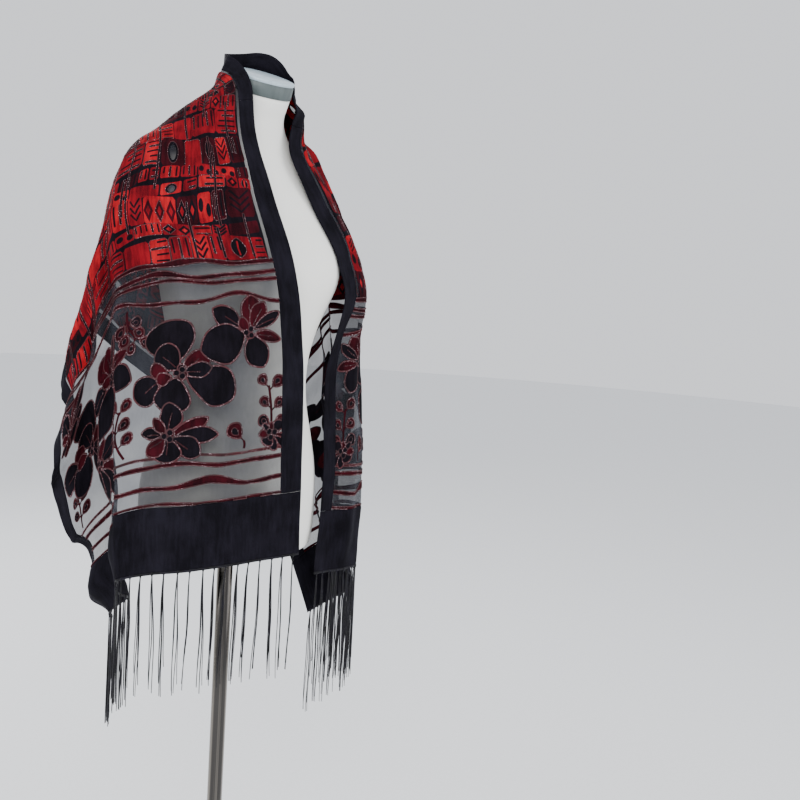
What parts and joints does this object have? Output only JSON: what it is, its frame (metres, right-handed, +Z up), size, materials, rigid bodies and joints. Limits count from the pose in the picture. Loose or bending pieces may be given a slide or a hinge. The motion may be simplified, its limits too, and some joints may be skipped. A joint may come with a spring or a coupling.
{
  "type": "velvet shawl on a dress form stand",
  "caption": "Long fringed burnt-out velvet shawl, black bordered, draped open over the shoulders of a limbless dress form on a pole stand.",
  "frame": {"origin": "centre of the floor base's underside, under the pole", "axes": "+Z up along the pole, -Y the way the dress form faces, -X its right side"},
  "size_m": [0.5991, 0.3877, 1.5666],
  "materials": {
    "devore": "matt",
    "velvet": "matt",
    "thread": "satin",
    "form_cover": "matt",
    "cap_paint": "satin",
    "dark_fitting": "matt",
    "chrome_stand": "polished"
  },
  "bodies": {
    "root": {"form_torso": "form_cover", "neck_cap": "cap_paint", "flange": "dark_fitting", "pole": "chrome_stand", "floor_base": "chrome_stand", "panel_left": "devore", "panel_back": "devore", "panel_right": "devore", "neck_border_left": "velvet", "neck_border_back": "velvet", "neck_border_right": "velvet", "outer_border_left": "velvet", "outer_border_back": "velvet", "outer_border_right": "velvet", "end_band_left": "velvet", "end_band_right": "velvet", "fringe_left": "thread", "fringe_right": "thread"}
  },
  "joints": []
}
